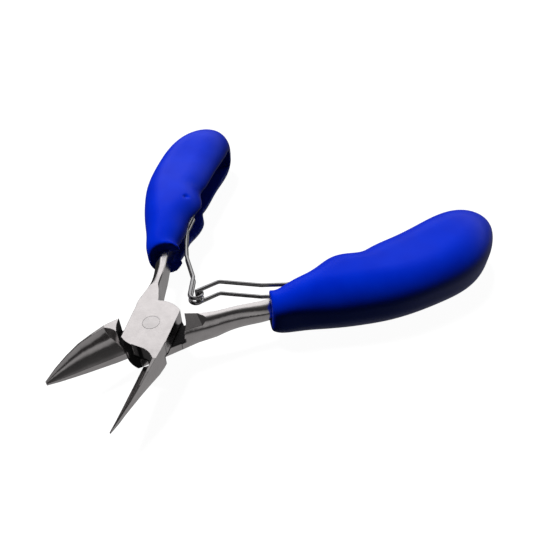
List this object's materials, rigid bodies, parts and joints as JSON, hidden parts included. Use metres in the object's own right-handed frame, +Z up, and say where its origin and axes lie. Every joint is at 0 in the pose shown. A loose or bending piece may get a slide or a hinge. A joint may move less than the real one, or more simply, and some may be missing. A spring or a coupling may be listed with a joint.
{
  "type": "spring-handled nippers",
  "caption": "Hand nippers with hollow-ground pointed jaws, a riveted lap joint, thick cushioned handles and a pair of hooked return springs.",
  "frame": {"origin": "the middle of the joint's upper ground face, on the pivot axis, with the jaws open at rest", "axes": "+Z runs up along the pivot axis, out of the upper face of the joint. +Y runs from the pivot between the handles, and the jaws point towards -Y. The upper half's handle is on the -X side."},
  "size_m": [0.1276, 0.1209, 0.0228],
  "materials": {
    "forged_steel": "satin ground steel, brighter on the edges",
    "rivet_steel": "satin, ground flush with the joint's faces",
    "pin_steel": "plain drawn steel",
    "spring_wire": "polished spring wire",
    "grip": "satin soft plastic, royal blue"
  },
  "bodies": {
    "upper_handle": {"upper_half": "forged_steel", "upper_grip": "grip", "upper_spring_pin": "pin_steel", "pivot_rivet": "rivet_steel"},
    "lower_handle": {"lower_half": "forged_steel", "lower_grip": "grip", "lower_spring_pin": "pin_steel"},
    "hook_spring": {"hook_spring": "spring_wire"},
    "loop_spring": {"loop_spring": "spring_wire"}
  },
  "joints": [
    {"name": "pivot", "type": "hinge", "parent": "upper_handle", "child": "lower_handle", "pos_m": [0, 0, -0.0047], "axis": [0, 0, 1], "range_deg": [0, 48], "stiffness_Nm_per_rad": 1.2, "springref_deg": -17.19},
    {"name": "hook_spring_pin", "type": "hinge", "parent": "upper_handle", "child": "hook_spring", "pos_m": [-0.02868, 0.04525, -0.0047], "axis": [0, 0, 1], "range_deg": [-10.35, 0]},
    {"name": "loop_spring_pin", "type": "hinge", "parent": "lower_handle", "child": "loop_spring", "pos_m": [0.02868, 0.04525, -0.0047], "axis": [0, 0, 1], "range_deg": [0, 10.35]}
  ],
  "couplings": [
    {"joint": "hook_spring_pin", "follows": "pivot", "ratio": -0.214},
    {"joint": "loop_spring_pin", "follows": "pivot", "ratio": 0.214}
  ]
}
